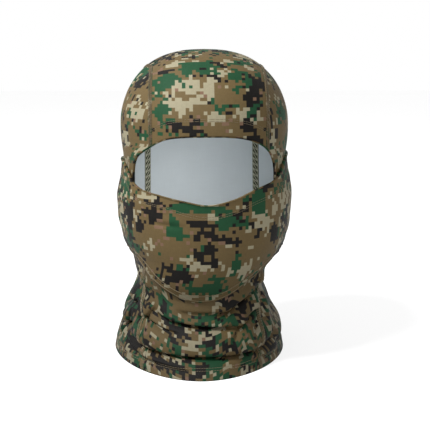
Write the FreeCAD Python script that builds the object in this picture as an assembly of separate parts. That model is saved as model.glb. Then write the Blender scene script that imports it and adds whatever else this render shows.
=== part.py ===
import FreeCAD, Part
import math
import os

# Pull-on face mask (balaclava) with a pull-down face panel, standing on its bottom hem.
# Millimetres, +Z up, the face looks along -Y, the origin is at the centre of the footprint.
# The wearer's left is +X.

V = FreeCAD.Vector

# ---- cloth and thread --------------------------------------------------------------------
CLOTH = 0.8                 # one layer of knitted cloth
ELASTIC = 0.5               # elastic tape in the face panel's top hem
THREAD = 0.5                # flatlock thread on the cloth
STITCH = 0.4                # a hem's stitch row on the cloth
PLY = 0.2                   # air between two layers that lie on each other
HEM_AIR = 0.8               # the same inside the loosely turned bottom hem
FLATLOCK_WIDTH = 5.0
STITCH_WIDTH = 1.4

# ---- hood: height, half width, depth forwards, depth backwards, squareness -----------------
# The depths are measured from the ear line, the widest line of the head.
HOOD = [
    (0, 83, 115, 97, 1.85),         # bottom hem
    (14, 80, 106, 92, 1.95),
    (30, 74.5, 96, 85, 2.05),
    (50, 68, 88, 77, 2.15),
    (64, 63.5, 85.8, 73, 2.2),      # under the chin
    (75, 62.3, 91, 73, 2.2),        # narrowest, below the jaw
    (86, 65, 94.5, 75, 2.2),
    (98, 69.5, 97, 79, 2.2),
    (125, 73.5, 97, 88, 2.2),
    (150, 75.2, 97, 96, 2.2),
    (172, 76, 97, 103, 2.2),
    (188, 77, 97, 105.5, 2.2),      # ears
    (208, 79.2, 96.5, 106, 2.2),
    (228, 78.6, 95, 105, 2.2),
    (245, 73.8, 89, 99.5, 2.2),
    (258, 66.8, 80, 91, 2.2),
    (268, 58, 69.5, 80.5, 2.2),
    (276, 48, 57.5, 68, 2.2),
    (282, 35.5, 42.5, 52, 2.2),
    (286, 18.5, 22, 28, 2.2),
    (287, 0, 0, 0, 2.2),            # crown
]

# ---- face panel, which lies outside the hood from the jaw to the ears -----------------------
FACE = [
    (50, 69.2, 89.5, 78.5, 2.15),
    (64, 65, 87.2, 74.4, 2.2),      # chin seam
    (75, 64, 92.4, 74.6, 2.2),
    (86, 66.7, 96, 77, 2.2),
    (98, 71.5, 98.8, 81, 2.2),
    (112, 77.8, 101, 87, 2.2),
    (128, 81.8, 102.7, 93, 2.2),
    (144, 83.4, 103.4, 98, 2.2),
    (156, 83.6, 103.3, 101, 2.2),   # cheeks
    (166, 82, 102.2, 104, 2.2),
    (176, 80.4, 101, 106, 2.2),
    (190, 79.9, 100, 108, 2.2),
    (206, 80, 99.5, 109, 2.2),
]

# ---- outlines seen from the front -----------------------------------------------------------
EYE_TOP_Z = 212.5           # forehead edge, at the middle
EYE_CORNER_Z = 168.0        # the opening is widest here
EYE_HALF_WIDTH = 62.5
EYE_SQUARENESS = 2.5
OPENING_FOOT_Z = 89.0       # the hood's edges meet the chin seam here, at the seam planes
FACE_TOP = [(0, 153.5), (22, 157.5), (43, 165.5), (61, 171), (69, 178), (74, 187), (79, 190.5),
            (90, 191)]
JAW = [(0, 63.5), (20, 67), (40, 78), (52, 87.5), (60, 94), (66, 98), (90, 100)]

SEAM_X = 54.0               # the flatlock seams run in the planes x = +54 and x = -54
SEAM_GAP = 0.3              # from a seam plane to the cloth on either side
EYE_HEM = 15.0              # depth of the turned hem over the forehead
EYE_HEM_SIDE = 6.0          # the same hem seen from the front where the cloth turns away
FACE_HEM = 12.0
BOTTOM_HEM = 10.0
ELASTIC_INSET = 2.0         # free cloth above and below the elastic
SEAM_ALLOWANCE = 2.0        # cloth turned in where the face panel is sewn down
CHIN_STITCH = 7.0           # height of the stitched band above the chin seam

# Angles round the head, in degrees from the middle of the face.
FACE_REAR = 98.0            # the face panel's rear edges, behind the ears
REAR_STITCH = 94.0
REAR_ALLOWANCE = 96.5
CHIN_REAR = 93.0            # the chin seam ends at the rear seams
HEM_REAR = 91.0             # the moving hem stops short of the rear seams

# Round the opening, turn runs from -1 at its right-hand foot over 0 at its top to 1.
ARCH_SHARE = 0.6            # the turn at the opening's widest points
STITCHED_TURNS = [(-0.88, -0.48), (-0.3, 0.3), (0.48, 0.88)]

# ---- how finely the surfaces are drawn ------------------------------------------------------
GRID_STEP = 4.5             # spacing of the points that a surface is drawn through
FINE_STEP = 1.0             # closer rows, at a corner of a panel
FINE_ROWS = 6.0             # how far the closer rows reach from the corner
ANGLE_STEP = 3.0            # degrees
TURN_STEP = 0.03
SHARE_STEP = 0.3            # across a narrow band
PLACE_STEP = 0.25           # part of the way from one row of HOOD to the next
BIB_STEPS = 30
SIDE_STEPS = 36
CROWN_STEPS = 90
TRACE_STEPS = 240           # a line over the crown is measured in this many steps
BISECTIONS = 40
TINY = 1e-6
SEWING_TOLERANCE = 0.001

deepest_front = max(row[2] for row in HOOD)
deepest_back = max(row[3] for row in HOOD)
EAR_LINE_Y = (deepest_front - deepest_back) / 2     # centres the footprint on the origin


# ---- smooth curves through a few rows ----------------------------------------------------------
def hermite(before, start, end, after, share):
    """A smooth value between start and end, from their neighbours on both sides."""
    slope_start = (end - before) / 2
    slope_end = (after - start) / 2
    square = share * share
    cube = square * share
    return ((2 * cube - 3 * square + 1) * start + (cube - 2 * square + share) * slope_start
            + (3 * square - 2 * cube) * end + (cube - square) * slope_end)


def row_at(rows, place):
    """The row at a fractional place in a list of rows."""
    last = len(rows) - 1
    place = min(max(place, 0), last)
    i = min(int(place), last - 1)
    picked = [rows[max(i - 1, 0)], rows[i], rows[i + 1], rows[min(i + 2, last)]]
    return tuple(hermite(*values, place - i) for values in zip(*picked))


def solve(function, low, high):
    """Where a function that rises from low to high passes zero."""
    for _ in range(BISECTIONS):
        middle = (low + high) / 2
        if function(middle) < 0:
            low = middle
        else:
            high = middle
    return (low + high) / 2


def place_of_height(rows, height):
    return solve(lambda place: row_at(rows, place)[0] - height, 0, len(rows) - 1)


def outline_height(outline, x):
    """The height of an outline, drawn for the right-hand half, at x."""
    place = solve(lambda p: row_at(outline, p)[0] - abs(x), 0, len(outline) - 1)
    return row_at(outline, place)[1]


# ---- points on the two surfaces ------------------------------------------------------------------
def moved_out(rows, distance):
    """The same rows, moved along the profile's normal."""
    moved = []
    for i, (height, half_width, front, back, squareness) in enumerate(rows):
        below = rows[max(i - 1, 0)]
        above = rows[min(i + 1, len(rows) - 1)]
        rise = above[0] - below[0]
        spread = above[1] - below[1]
        length = math.hypot(rise, spread)
        out = distance * rise / length
        up = -distance * spread / length
        if i == 0:
            up = 0
        if half_width == 0:
            out = 0
            up = distance
        moved.append((height + up, half_width + out, front + out, back + out, squareness))
    return moved


def signed_power(value, power):
    return math.copysign(abs(value) ** power, value)


def round_point(rows, degrees, place):
    """The point at an angle from the middle of the face, at a place in the rows."""
    height, half_width, front, back, squareness = row_at(rows, place)
    angle = math.radians(degrees)
    across = signed_power(math.sin(angle), 2 / squareness)
    along = -signed_power(math.cos(angle), 2 / squareness)
    depth = back if along > 0 else front
    return V(half_width * across, EAR_LINE_Y + depth * along, height)


def depth_point(rows, x, place, side):
    """The point at x in front of (side -1) or behind (side +1) the ear line."""
    height, half_width, front, back, squareness = row_at(rows, place)
    share = min(abs(x) / max(half_width, TINY), 1)
    depth = back if side > 0 else front
    reach = (1 - share ** squareness) ** (1 / squareness)
    return V(x, EAR_LINE_Y + side * depth * reach, height)


# ---- solids between two grids of points -------------------------------------------------------------
def surface(grid):
    made = Part.BSplineSurface()
    made.interpolate(grid)
    return made


def border(made, side):
    low_u, high_u, low_v, high_v = made.bounds()
    if side == "low_u":
        return made.uIso(low_u).toShape()
    if side == "high_u":
        return made.uIso(high_u).toShape()
    if side == "low_v":
        return made.vIso(low_v).toShape()
    return made.vIso(high_v).toShape()


def edge_faces(outer_edge, inner_edge):
    """The cloth's cut edge between two border lines: a plane where both lie on the floor."""
    if max(outer_edge.BoundBox.ZMax, inner_edge.BoundBox.ZMax) > TINY:
        return Part.makeLoft([Part.Wire([outer_edge]), Part.Wire([inner_edge])], False, True).Faces
    ends = zip(outer_edge.Vertexes, inner_edge.Vertexes)
    joining = [Part.makeLine(outer.Point, inner.Point) for outer, inner in ends]
    return [Part.Face(Part.Wire(Part.__sortEdges__([outer_edge, inner_edge] + joining)))]


def cloth_solid(outer_grid, inner_grid):
    """A closed solid between two surfaces drawn through the same number of points."""
    outer = surface(outer_grid)
    inner = surface(inner_grid)
    faces = [outer.toShape(), inner.toShape()]
    for side in ("low_u", "high_u", "low_v", "high_v"):
        faces += edge_faces(border(outer, side), border(inner, side))
    shell = Part.Compound(faces)
    shell.sewShape(SEWING_TOLERANCE)
    solid = Part.Solid(shell.Shells[0])
    if solid.Volume < 0:
        solid.reverse()
    return solid


def steps(low, high, count):
    """Evenly spaced values from low to high."""
    return [low + (high - low) * i / count for i in range(count + 1)]


def between(low, high, spacing=GRID_STEP):
    """Evenly spaced values from low to high, about spacing apart."""
    return steps(low, high, max(3, math.ceil(abs(high - low) / spacing)))


def shell_of(point, across, along, outer, inner):
    """The solid between two distances of point(rows_distance, across, along)."""
    grids = [[[point(distance, a, b) for b in along] for a in across] for distance in (outer, inner)]
    return cloth_solid(*grids)


# ---- the face panel and what lies on it -------------------------------------------------------------
def face_place(degrees, outline, rise):
    """The place in FACE where the column at this angle meets an outline moved up by rise."""
    def above(place):
        point = round_point(FACE, degrees, place)
        return point.z - outline_height(outline, point.x) - rise
    return solve(above, 0, len(FACE) - 1)


def face_piece(bottom, top, rears, outer, inner, outer_rows=FACE, inner_rows=FACE):
    """Cloth round the face between two (outline, rise) edges and two angles."""
    angles = between(*rears, spacing=ANGLE_STEP)
    low = [face_place(angle, *bottom) for angle in angles]
    high = [face_place(angle, *top) for angle in angles]
    narrow = top[0] is bottom[0]
    tall = top[1] - bottom[1] if narrow else FACE_TOP[-1][1] - JAW[0][1]
    shares = between(0, 1, spacing=GRID_STEP / tall)

    def grid(rows, base, distance):
        moved = moved_out(rows, distance)
        columns = []
        for angle, start, end in zip(angles, low, high):
            column = []
            for share in shares:
                place = start + (end - start) * share
                if rows is not base:
                    place = place_of_height(rows, row_at(base, place)[0])
                column.append(round_point(moved, angle, place))
            columns.append(column)
        return columns
    return cloth_solid(grid(outer_rows, FACE, outer), grid(inner_rows, FACE, inner))


def face_panel():
    return face_piece((JAW, 0), (FACE_TOP, 0), (-FACE_REAR, FACE_REAR), 0, -CLOTH)


def face_hem():
    outer = -CLOTH - ELASTIC - 2 * PLY
    rears = (-HEM_REAR, HEM_REAR)
    return face_piece((FACE_TOP, -FACE_HEM), (FACE_TOP, 0), rears, outer, outer - CLOTH)


def face_hem_elastic():
    outer = -CLOTH - PLY
    edges = [(FACE_TOP, ELASTIC_INSET - FACE_HEM), (FACE_TOP, -ELASTIC_INSET)]
    return face_piece(*edges, (-HEM_REAR, HEM_REAR), outer, outer - ELASTIC)


def face_hem_stitching():
    edges = [(FACE_TOP, -FACE_HEM), (FACE_TOP, STITCH_WIDTH - FACE_HEM)]
    return face_piece(*edges, (-HEM_REAR, HEM_REAR), PLY + STITCH, PLY)


def sewn_down(bottom, top, rears):
    """Turned-in cloth that fills the space between the hood and the face panel."""
    return face_piece(bottom, top, rears, -CLOTH - PLY, PLY, inner_rows=HOOD)


def chin_seam():
    """The turned-in cloth along the jaw and the stitched band above it."""
    rears = (-CHIN_REAR, CHIN_REAR)
    allowance = sewn_down((JAW, 0), (JAW, SEAM_ALLOWANCE), rears)
    band = face_piece((JAW, 0), (JAW, CHIN_STITCH), rears, PLY + STITCH, PLY)
    return [allowance, band]


def face_side_seam():
    """The seam that holds one rear edge of the face panel to the hood."""
    top = (FACE_TOP, 0)
    allowance = sewn_down((JAW, 0), top, (REAR_ALLOWANCE, FACE_REAR))
    band = face_piece((JAW, 0), top, (REAR_STITCH, FACE_REAR), PLY + THREAD, PLY)
    return [allowance, band]


# ---- the hood's opening --------------------------------------------------------------------------------
def arch_height(x):
    """The forehead edge over x."""
    share = min(abs(x) / EYE_HALF_WIDTH, 1)
    rise = EYE_TOP_Z - EYE_CORNER_Z
    return EYE_CORNER_Z + rise * (1 - share ** EYE_SQUARENESS) ** (1 / EYE_SQUARENESS)


def opening_point(turn):
    """The opening's edge: turn -1 and 1 are its feet at the chin seam, 0 its top."""
    size = abs(turn)
    if size <= ARCH_SHARE:
        angle = math.pi / 2 * size / ARCH_SHARE
        x = EYE_HALF_WIDTH * math.sin(angle) ** (2 / EYE_SQUARENESS)
        return math.copysign(x, turn), arch_height(x)
    z = EYE_CORNER_Z - (EYE_CORNER_Z - OPENING_FOOT_Z) * (size - ARCH_SHARE) / (1 - ARCH_SHARE)
    return math.copysign(opening_half_width(z), turn), z


def opening_half_width(z):
    """The hood's front edge at a height: the seam plane above and below the opening."""
    if z <= OPENING_FOOT_Z:
        return SEAM_X
    if z <= EYE_CORNER_Z:
        drop = (EYE_CORNER_Z - z) / (EYE_CORNER_Z - OPENING_FOOT_Z)
        return SEAM_X + (EYE_HALF_WIDTH - SEAM_X) * (1 - drop ** EYE_SQUARENESS)
    rise = min((z - EYE_CORNER_Z) / (EYE_TOP_Z - EYE_CORNER_Z), 1)
    return max(SEAM_X, EYE_HALF_WIDTH * (1 - rise ** EYE_SQUARENESS) ** (1 / EYE_SQUARENESS))


def opening_band(turns, start, end, outer, inner):
    """Cloth along the opening's edge, between two shares of the hem's depth."""
    nudge = TURN_STEP / 3
    layers = {distance: moved_out(HOOD, distance) for distance in (outer, inner)}

    def point(distance, turn, share):
        x, z = opening_point(turn)
        before = opening_point(max(turn - nudge, -1))
        after = opening_point(min(turn + nudge, 1))
        run = after[0] - before[0]
        climb = after[1] - before[1]
        length = math.hypot(run, climb)
        x -= climb / length * EYE_HEM_SIDE * share
        z += run / length * EYE_HEM * share
        rows = layers[distance]
        return depth_point(rows, x, place_of_height(rows, z), -1)
    across = between(*turns, spacing=TURN_STEP)
    return shell_of(point, across, between(start, end, spacing=SHARE_STEP), outer, inner)


def eye_opening_hem():
    outer = -CLOTH - PLY
    return opening_band((-1, 1), 0, 1, outer, outer - CLOTH)


def eye_hem_stitching():
    """Three rows: over the forehead and down each side, broken at the crown seams."""
    start = 1 - STITCH_WIDTH / EYE_HEM
    return [opening_band(row, start, 1, PLY + STITCH, PLY) for row in STITCHED_TURNS]


# ---- the hood's panels -----------------------------------------------------------------------------------
def crown_curve(rows, x, start_height, end_height):
    """Even points on the line at x: up the forehead, over the crown, down the back."""
    top = len(rows) - 1
    if x != 0:
        ears = place_of_height(rows, EYE_TOP_Z)
        top = solve(lambda place: abs(x) - row_at(rows, place)[1], ears, top)
    front = math.sqrt(top - place_of_height(rows, start_height))
    back = math.sqrt(top - place_of_height(rows, end_height))

    def point(reach):
        return depth_point(rows, x, top - reach * reach, math.copysign(1, reach))
    reaches = steps(-front, back, TRACE_STEPS)
    travelled = [0.0]
    for before, after in zip(reaches, reaches[1:]):
        travelled.append(travelled[-1] + point(before).distanceToPoint(point(after)))
    points = []
    for target in steps(0, travelled[-1], CROWN_STEPS):
        k = next((k for k, length in enumerate(travelled[1:]) if length >= target), len(reaches) - 2)
        share = (target - travelled[k]) / (travelled[k + 1] - travelled[k])
        points.append(point(reaches[k] + (reaches[k + 1] - reaches[k]) * min(share, 1)))
    return points


def over_the_crown(xs, start_rise, end_height, outer, inner):
    """Cloth from above the forehead edge, over the crown, down the back."""
    grids = []
    for distance in (outer, inner):
        rows = moved_out(HOOD, distance)
        grids.append([crown_curve(rows, x, arch_height(x) + start_rise, end_height) for x in xs])
    return cloth_solid(*grids)


def hood_centre_panel():
    """One strip from the forehead over the crown and down the back to the hem."""
    edge = SEAM_X - SEAM_GAP
    return over_the_crown(between(-edge, edge), 0, 0, 0, -CLOTH)


def seam_angle(height, half_width_of_edge, side):
    """The angle, from the middle of the face, at which the hood is this far from the middle."""
    _, half_width, _, _, squareness = row_at(HOOD, place_of_height(HOOD, height))
    share = min(half_width_of_edge / half_width, 1)
    angle = math.degrees(math.asin(share ** (squareness / 2)))
    return angle if side < 0 else 180 - angle


def hood_side_panel():
    """From the hem to the crown seam, between the front edge and the back seam."""
    edge = SEAM_X + SEAM_GAP
    crest = solve(lambda place: edge + SEAM_GAP - row_at(HOOD, place)[1],
                  place_of_height(HOOD, EYE_TOP_Z), len(HOOD) - 1)
    heights = {row_at(HOOD, place)[0] for place in between(0, crest, spacing=PLACE_STEP)}
    shoulder = solve(lambda z: SEAM_X - opening_half_width(z) + TINY, EYE_CORNER_Z, EYE_TOP_Z)
    for corner in (OPENING_FOOT_Z, shoulder):
        heights = {height for height in heights if abs(height - corner) > FINE_ROWS}
        heights.update(between(corner - FINE_ROWS, corner + FINE_ROWS, spacing=FINE_STEP))
    heights = sorted(heights)
    grids = []
    for distance in (0, -CLOTH):
        rows = moved_out(HOOD, distance)
        grid = []
        for height in heights:
            place = place_of_height(HOOD, height)
            front = seam_angle(height, opening_half_width(height) + SEAM_GAP, -1)
            back = seam_angle(height, edge, 1)
            grid.append([round_point(rows, angle, place) for angle in steps(front, back, SIDE_STEPS)])
        grids.append(grid)
    return [cloth_solid(*grids)]


def bib_piece(xs, start, rise, outer, inner):
    """Cloth below the chin seam, from a height up to the jaw outline moved up by rise."""
    layers = {distance: moved_out(HOOD, distance) for distance in (outer, inner)}

    def point(distance, x, share):
        height = start + (outline_height(JAW, x) + rise - start) * share
        return depth_point(layers[distance], x, place_of_height(HOOD, height), -1)
    return shell_of(point, xs, steps(0, 1, BIB_STEPS), outer, inner)


def neck_front_panel():
    """The bib below the chin seam, between the two neck seams."""
    edge = SEAM_X - SEAM_GAP
    return bib_piece(between(-edge, edge), 0, -SEAM_GAP, 0, -CLOTH)


# ---- the hood's seams and the bottom hem ---------------------------------------------------------------------
seam_xs = between(SEAM_X - FLATLOCK_WIDTH / 2, SEAM_X + FLATLOCK_WIDTH / 2)


def crown_seam():
    """Flatlock thread from the forehead over the crown and down the back."""
    outer = -CLOTH - PLY
    outside = over_the_crown(seam_xs, 0, 0, PLY + THREAD, PLY)
    inside = over_the_crown(seam_xs, EYE_HEM + 1, BOTTOM_HEM + 1, outer, outer - THREAD)
    return [outside, inside]


def neck_seam():
    """Flatlock thread between the bib and a side panel."""
    outer = -CLOTH - PLY
    outside = bib_piece(seam_xs, 0, -1, PLY + THREAD, PLY)
    inside = bib_piece(seam_xs, BOTTOM_HEM + 1, -EYE_HEM_SIDE, outer, outer - THREAD)
    return [outside, inside]


def ring_arcs(clear):
    """The four stretches of the hem between the seam planes, in degrees round the neck."""
    front_in = seam_angle(BOTTOM_HEM, SEAM_X - clear, -1)
    front_out = seam_angle(BOTTOM_HEM, SEAM_X + clear, -1)
    back_in = seam_angle(BOTTOM_HEM, SEAM_X - clear, 1)
    back_out = seam_angle(BOTTOM_HEM, SEAM_X + clear, 1)
    return [(-front_in, front_in), (front_out, back_out), (back_in, 360 - back_in),
            (-back_out, -front_out)]


def ring_pieces(clear, low, high, outer, inner):
    """Cloth or thread round the bottom, between two heights."""
    layers = {distance: moved_out(HOOD, distance) for distance in (outer, inner)}

    def point(distance, angle, height):
        return round_point(layers[distance], angle, place_of_height(HOOD, height))
    return [shell_of(point, between(*arc, spacing=ANGLE_STEP), between(low, high), outer, inner)
            for arc in ring_arcs(clear)]


def bottom_hem():
    """The turned edge of each of the four panels that reach the bottom."""
    outer = -CLOTH - HEM_AIR
    return ring_pieces(HEM_AIR, PLY, BOTTOM_HEM, outer, outer - CLOTH)


def bottom_hem_stitching():
    """Four rows, broken where the seams cross the hem."""
    clear = FLATLOCK_WIDTH / 2 + 1
    return ring_pieces(clear, BOTTOM_HEM - STITCH_WIDTH, BOTTOM_HEM, PLY + STITCH, PLY)


# ---- writing ------------------------------------------------------------------------------------------------------
def mirrored(solids):
    """The right-hand copies of left-hand solids."""
    return [solid.mirror(V(0, 0, 0), V(1, 0, 0)) for solid in solids]


def write(name, solids):
    shape = solids[0] if len(solids) == 1 else Part.makeCompound(solids)
    size = shape.optimalBoundingBox(False)
    print(f"{name:22s} solids {len(shape.Solids)} valid {shape.isValid()} volume {shape.Volume:8.1f} "
          f"x {size.XMin:6.1f} {size.XMax:6.1f} y {size.YMin:6.1f} {size.YMax:6.1f} "
          f"z {size.ZMin:6.1f} {size.ZMax:6.1f}")
    shape.exportStep(f"parts/{name}.step")


os.makedirs("parts", exist_ok=True)

write("hood_centre_panel", [hood_centre_panel()])
write("neck_front_panel", [neck_front_panel()])
write("face_panel", [face_panel()])
write("eye_opening_hem", [eye_opening_hem()])
write("face_hem", [face_hem()])
write("face_hem_elastic", [face_hem_elastic()])
write("bottom_hem", bottom_hem())
write("chin_seam", chin_seam())
write("eye_hem_stitching", eye_hem_stitching())
write("face_hem_stitching", [face_hem_stitching()])
write("bottom_hem_stitching", bottom_hem_stitching())
for name, left_hand_piece in (
        ("hood_{}_panel", hood_side_panel()),
        ("{}_crown_seam", crown_seam()),
        ("{}_neck_seam", neck_seam()),
        ("{}_face_seam", face_side_seam())):
    write(name.format("left"), left_hand_piece)
    write(name.format("right"), mirrored(left_hand_piece))
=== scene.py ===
import math
import bpy
import numpy as np
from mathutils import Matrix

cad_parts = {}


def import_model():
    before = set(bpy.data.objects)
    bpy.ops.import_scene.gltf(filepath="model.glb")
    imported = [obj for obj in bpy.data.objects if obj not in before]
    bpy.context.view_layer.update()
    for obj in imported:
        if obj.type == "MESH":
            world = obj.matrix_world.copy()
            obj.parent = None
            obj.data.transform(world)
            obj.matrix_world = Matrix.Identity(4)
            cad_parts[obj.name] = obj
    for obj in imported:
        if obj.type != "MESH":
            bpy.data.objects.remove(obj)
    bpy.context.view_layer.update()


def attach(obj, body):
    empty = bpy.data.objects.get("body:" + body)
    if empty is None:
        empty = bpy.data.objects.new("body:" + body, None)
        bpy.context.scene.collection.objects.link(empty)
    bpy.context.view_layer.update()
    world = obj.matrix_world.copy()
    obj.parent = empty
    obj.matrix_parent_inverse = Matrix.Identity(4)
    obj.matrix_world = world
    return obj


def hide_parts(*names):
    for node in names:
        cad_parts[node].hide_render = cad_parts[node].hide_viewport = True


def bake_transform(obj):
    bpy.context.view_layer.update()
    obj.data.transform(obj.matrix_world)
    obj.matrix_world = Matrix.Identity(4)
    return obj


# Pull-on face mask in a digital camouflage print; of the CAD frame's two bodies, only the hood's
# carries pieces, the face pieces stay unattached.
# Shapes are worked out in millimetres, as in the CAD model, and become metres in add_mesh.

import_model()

MM = 0.001
CLOTH = 0.8                 # one layer of the knit
PLY = 0.2                   # air between two layers
ELASTIC = 0.5               # the tape in the face panel's hem
TOUCH = 0.05                # keeps surfaces that lie on each other apart
TABLE_STEPS = 4000
AXIS_TOP = 190.0            # the head's axis ends here, at the middle of the crown

# The CAD model's rows: height, half width, depth forwards, depth backwards, squareness.
HOOD = np.array([
    (0, 83, 115, 97, 1.85), (14, 80, 106, 92, 1.95), (30, 74.5, 96, 85, 2.05),
    (50, 68, 88, 77, 2.15), (64, 63.5, 85.8, 73, 2.2), (75, 62.3, 91, 73, 2.2),
    (86, 65, 94.5, 75, 2.2), (98, 69.5, 97, 79, 2.2), (125, 73.5, 97, 88, 2.2),
    (150, 75.2, 97, 96, 2.2), (172, 76, 97, 103, 2.2), (188, 77, 97, 105.5, 2.2),
    (208, 79.2, 96.5, 106, 2.2), (228, 78.6, 95, 105, 2.2), (245, 73.8, 89, 99.5, 2.2),
    (258, 66.8, 80, 91, 2.2), (268, 58, 69.5, 80.5, 2.2), (276, 48, 57.5, 68, 2.2),
    (282, 35.5, 42.5, 52, 2.2), (286, 18.5, 22, 28, 2.2), (287, 0, 0, 0, 2.2),
])
FACE = np.array([
    (50, 69.2, 89.5, 78.5, 2.15), (64, 65, 87.2, 74.4, 2.2), (75, 64, 92.4, 74.6, 2.2),
    (86, 66.7, 96, 77, 2.2), (98, 71.5, 98.8, 81, 2.2), (112, 77.8, 101, 87, 2.2),
    (128, 81.8, 102.7, 93, 2.2), (144, 83.4, 103.4, 98, 2.2), (156, 83.6, 103.3, 101, 2.2),
    (166, 82.0, 102.2, 104, 2.2), (176, 79.8, 101, 106, 2.2), (190, 78.8, 100, 107, 2.2),
    (206, 80.0, 99.5, 108, 2.2),
])
EAR_LINE_Y = 4.5            # where each row's front and back halves meet

# The eye opening, and the edges of the face panel as (distance from the middle, height).
EYE_TOP_Z = 212.5
EYE_CORNER_Z = 168.0
EYE_HALF_WIDTH = 62.5
EYE_RIGHT_EXTRA = 3.5       # the opening is pulled wider on the wearer's right
EYE_SQUARENESS = 3.0
OPENING_FOOT_Z = 89.0
ARCH_SHARE = 0.6            # part of the way round the opening from its top to its widest point
FACE_TOP = np.array([
    (-22, 157.5), (0, 153.5), (22, 157.5), (43, 165.5), (61, 171), (69, 178), (74, 187),
    (79, 190.5), (90, 191),
])
JAW = np.array([
    (-20, 67), (0, 63.5), (20, 67), (40, 78), (52, 87.5), (60, 94), (66, 98), (90, 100),
])

# Seams and hems.
SEAM_X = 54.0               # the crown and neck seams' distance from the middle
SEAM_GAP = 0.3
SEAM_TUCK = 4.5             # the bib's top edge lies this far up behind the face panel
FLATLOCK_WIDTH = 5.0
OUTER_WIDTH = 3.4           # the seam's outer face shows narrower than its inner face
INNER_WIDTH = 6.0
BAND_SINK = 0.15            # how deep a stitched band lies in the cloth, so no gap shows
EYE_HEM = 15.0
EYE_HEM_SIDE = 6.0
FACE_HEM = 12.0
BOTTOM_HEM = 10.0
CHIN_STITCH = 7.0
FACE_REAR = 98.0            # the face panel's rear edges, in degrees from the middle of the face
REAR_STITCH = 94.0
HEM_REAR = 91.0
REAR_STAND = 1.9            # the rear edge's outer face stands this far off the hood's
REAR_BEND = 87.0

# How finely each piece is divided.
CROWN_COLUMNS = 75
CROWN_ROWS = 400
SIDE_COLUMNS = 110
SIDE_ROWS = 110
NECK_ROWS = 95
NECK_ROWS_TOP = 95
BIB_COLUMNS = 111
BIB_ROWS = 110
FACE_COLUMNS = 231
FACE_ROWS = 96
HEM_COLUMNS = 221
EYE_COLUMNS = 261
RING_COLUMNS = 130
SEAM_COLUMNS = 9
TURN_STEPS = 8              # round the fold at a hem's edge
TURN_FLAT = 0.6             # how far that fold is pressed flat
TURN_RISE = 0.4             # cloth taken up by each step
RULER_COLUMNS = 393
RULER_ROWS = 60

# The cloth's coordinates, which lay out the print.
BIB_GRAIN_ROW = 60
GRAIN_LEVEL = 110.0         # the height on the face from which the print is measured
FOREHEAD_LEVEL = 225.0
CROWN_EVEN_FROM = 30.0      # over this part the print's rows grow level towards the back
CROWN_EVEN_TO = 330.0

# Stitches: length of one stitch, radius of the thread, height above the cloth, material slot.
HEM_ROWS = {"pitch": 2.6, "radius": 0.17, "lift": 0.10, "slot": 0}
CHIN_ROWS = {"pitch": 2.8, "radius": 0.3, "lift": 0.24, "slot": 1}
REAR_ROWS = {"pitch": 2.6, "radius": 0.22, "lift": 0.42, "slot": 1}
REAR_COVER = {"pitch": 2.2, "radius": 0.2, "lift": 0.34, "slot": 0}
OUTER_ROWS = {"pitch": 2.4, "radius": 0.22, "lift": 0.34, "slot": 1}
OUTER_COVER = {"pitch": 1.3, "radius": 0.24, "lift": 0.26, "slot": 0}
INNER_ROWS = {"pitch": 2.9, "radius": 0.3, "lift": -0.45, "dip": -0.3, "slot": 2}
INNER_COVER = {"pitch": 2.9, "radius": 0.42, "lift": -0.8, "slot": 2}
THREAD_SIDES = 6
START_CAP = [[3, 2, 1, 0], [0, 5, 4, 3]]

# The neck's folds. Each runs between two points (degrees from the middle of the face,
# height). Then: bow, swell outwards, width, roll over the lower edge, groove under it.
FOLDS = [
    ((-70, 36), (70, 31), 5.0, 6.4, 7.0, 9.0, 7.5),       # the long fold above the hem
    ((-38, 60), (34, 47), 5.0, 3.0, 4.4, 4.2, 4.6),       # the one above it
    ((-52, 58), (-6, 40), 2.0, 2.6, 4.0, 3.4, 3.0),
    ((-22, 62), (26, 61), 3.0, 1.8, 4.5, 2.2, 2.6),       # under the chin
    ((6, 54), (58, 84), -2.5, 3.6, 4.4, 4.6, 5.4),        # from the chin seam's left end
    ((16, 42), (56, 68), -2.0, 3.4, 3.8, 4.2, 4.6),
    ((28, 34), (42, 70), 3.0, 2.8, 4.0, 2.2, 3.2),
    ((12, 34), (30, 54), 2.0, 1.8, 3.0, 1.6, 2.2),
    ((-52, 42), (-30, 62), 2.0, 1.8, 3.4, 1.8, 2.2),
    ((44, 26), (58, 66), 3.0, 3.2, 4.6, 2.4, 3.4),
    ((54, 22), (98, 36), 4.0, 4.6, 7.5, 3.6, 4.0),        # the bulge at the wearer's left
    ((66, 46), (98, 62), 2.0, 0.8, 5.0, 3.0, 3.4),
    ((-86, 70), (-48, 56), 2.0, 2.6, 4.2, 2.8, 2.8),
    ((-92, 50), (-50, 62), -2.5, 2.8, 4.6, 3.2, 3.2),
    ((-88, 36), (-50, 46), 3.5, 3.2, 5.0, 4.0, 4.0),
    ((-76, 16), (-58, 50), -2.5, 2.6, 3.8, 1.8, 3.0),
    ((-64, 27), (-18, 12), 1.5, 2.0, 4.2, 1.4, 2.0),
    ((-40, 18), (0, 9), 1.0, 1.2, 3.2, 0.8, 1.4),
    ((16, 18), (64, 11), 1.0, 1.6, 4.2, 1.2, 1.6),
    ((34, 86), (66, 74), 0.5, 2.0, 3.6, 2.2, 2.2),
    ((-62, 86), (-34, 70), 0.5, 1.8, 3.4, 1.8, 1.8),
    ((96, 34), (150, 48), 3.0, 3.0, 6.0, 3.6, 3.0),       # the back of the neck
    ((104, 60), (172, 66), 2.0, 2.4, 5.0, 3.0, 2.4),
    ((128, 22), (205, 28), 3.0, 3.6, 6.0, 4.6, 3.4),
    ((160, 46), (232, 40), 3.0, 3.0, 6.0, 3.6, 3.0),
    ((190, 68), (250, 58), 2.0, 2.4, 5.0, 2.6, 2.4),
    ((212, 18), (268, 32), 3.0, 3.4, 6.0, 3.4, 3.0),
    ((238, 50), (282, 38), 2.0, 2.6, 5.0, 3.0, 2.4),
]
SWELL = 1.1
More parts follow.
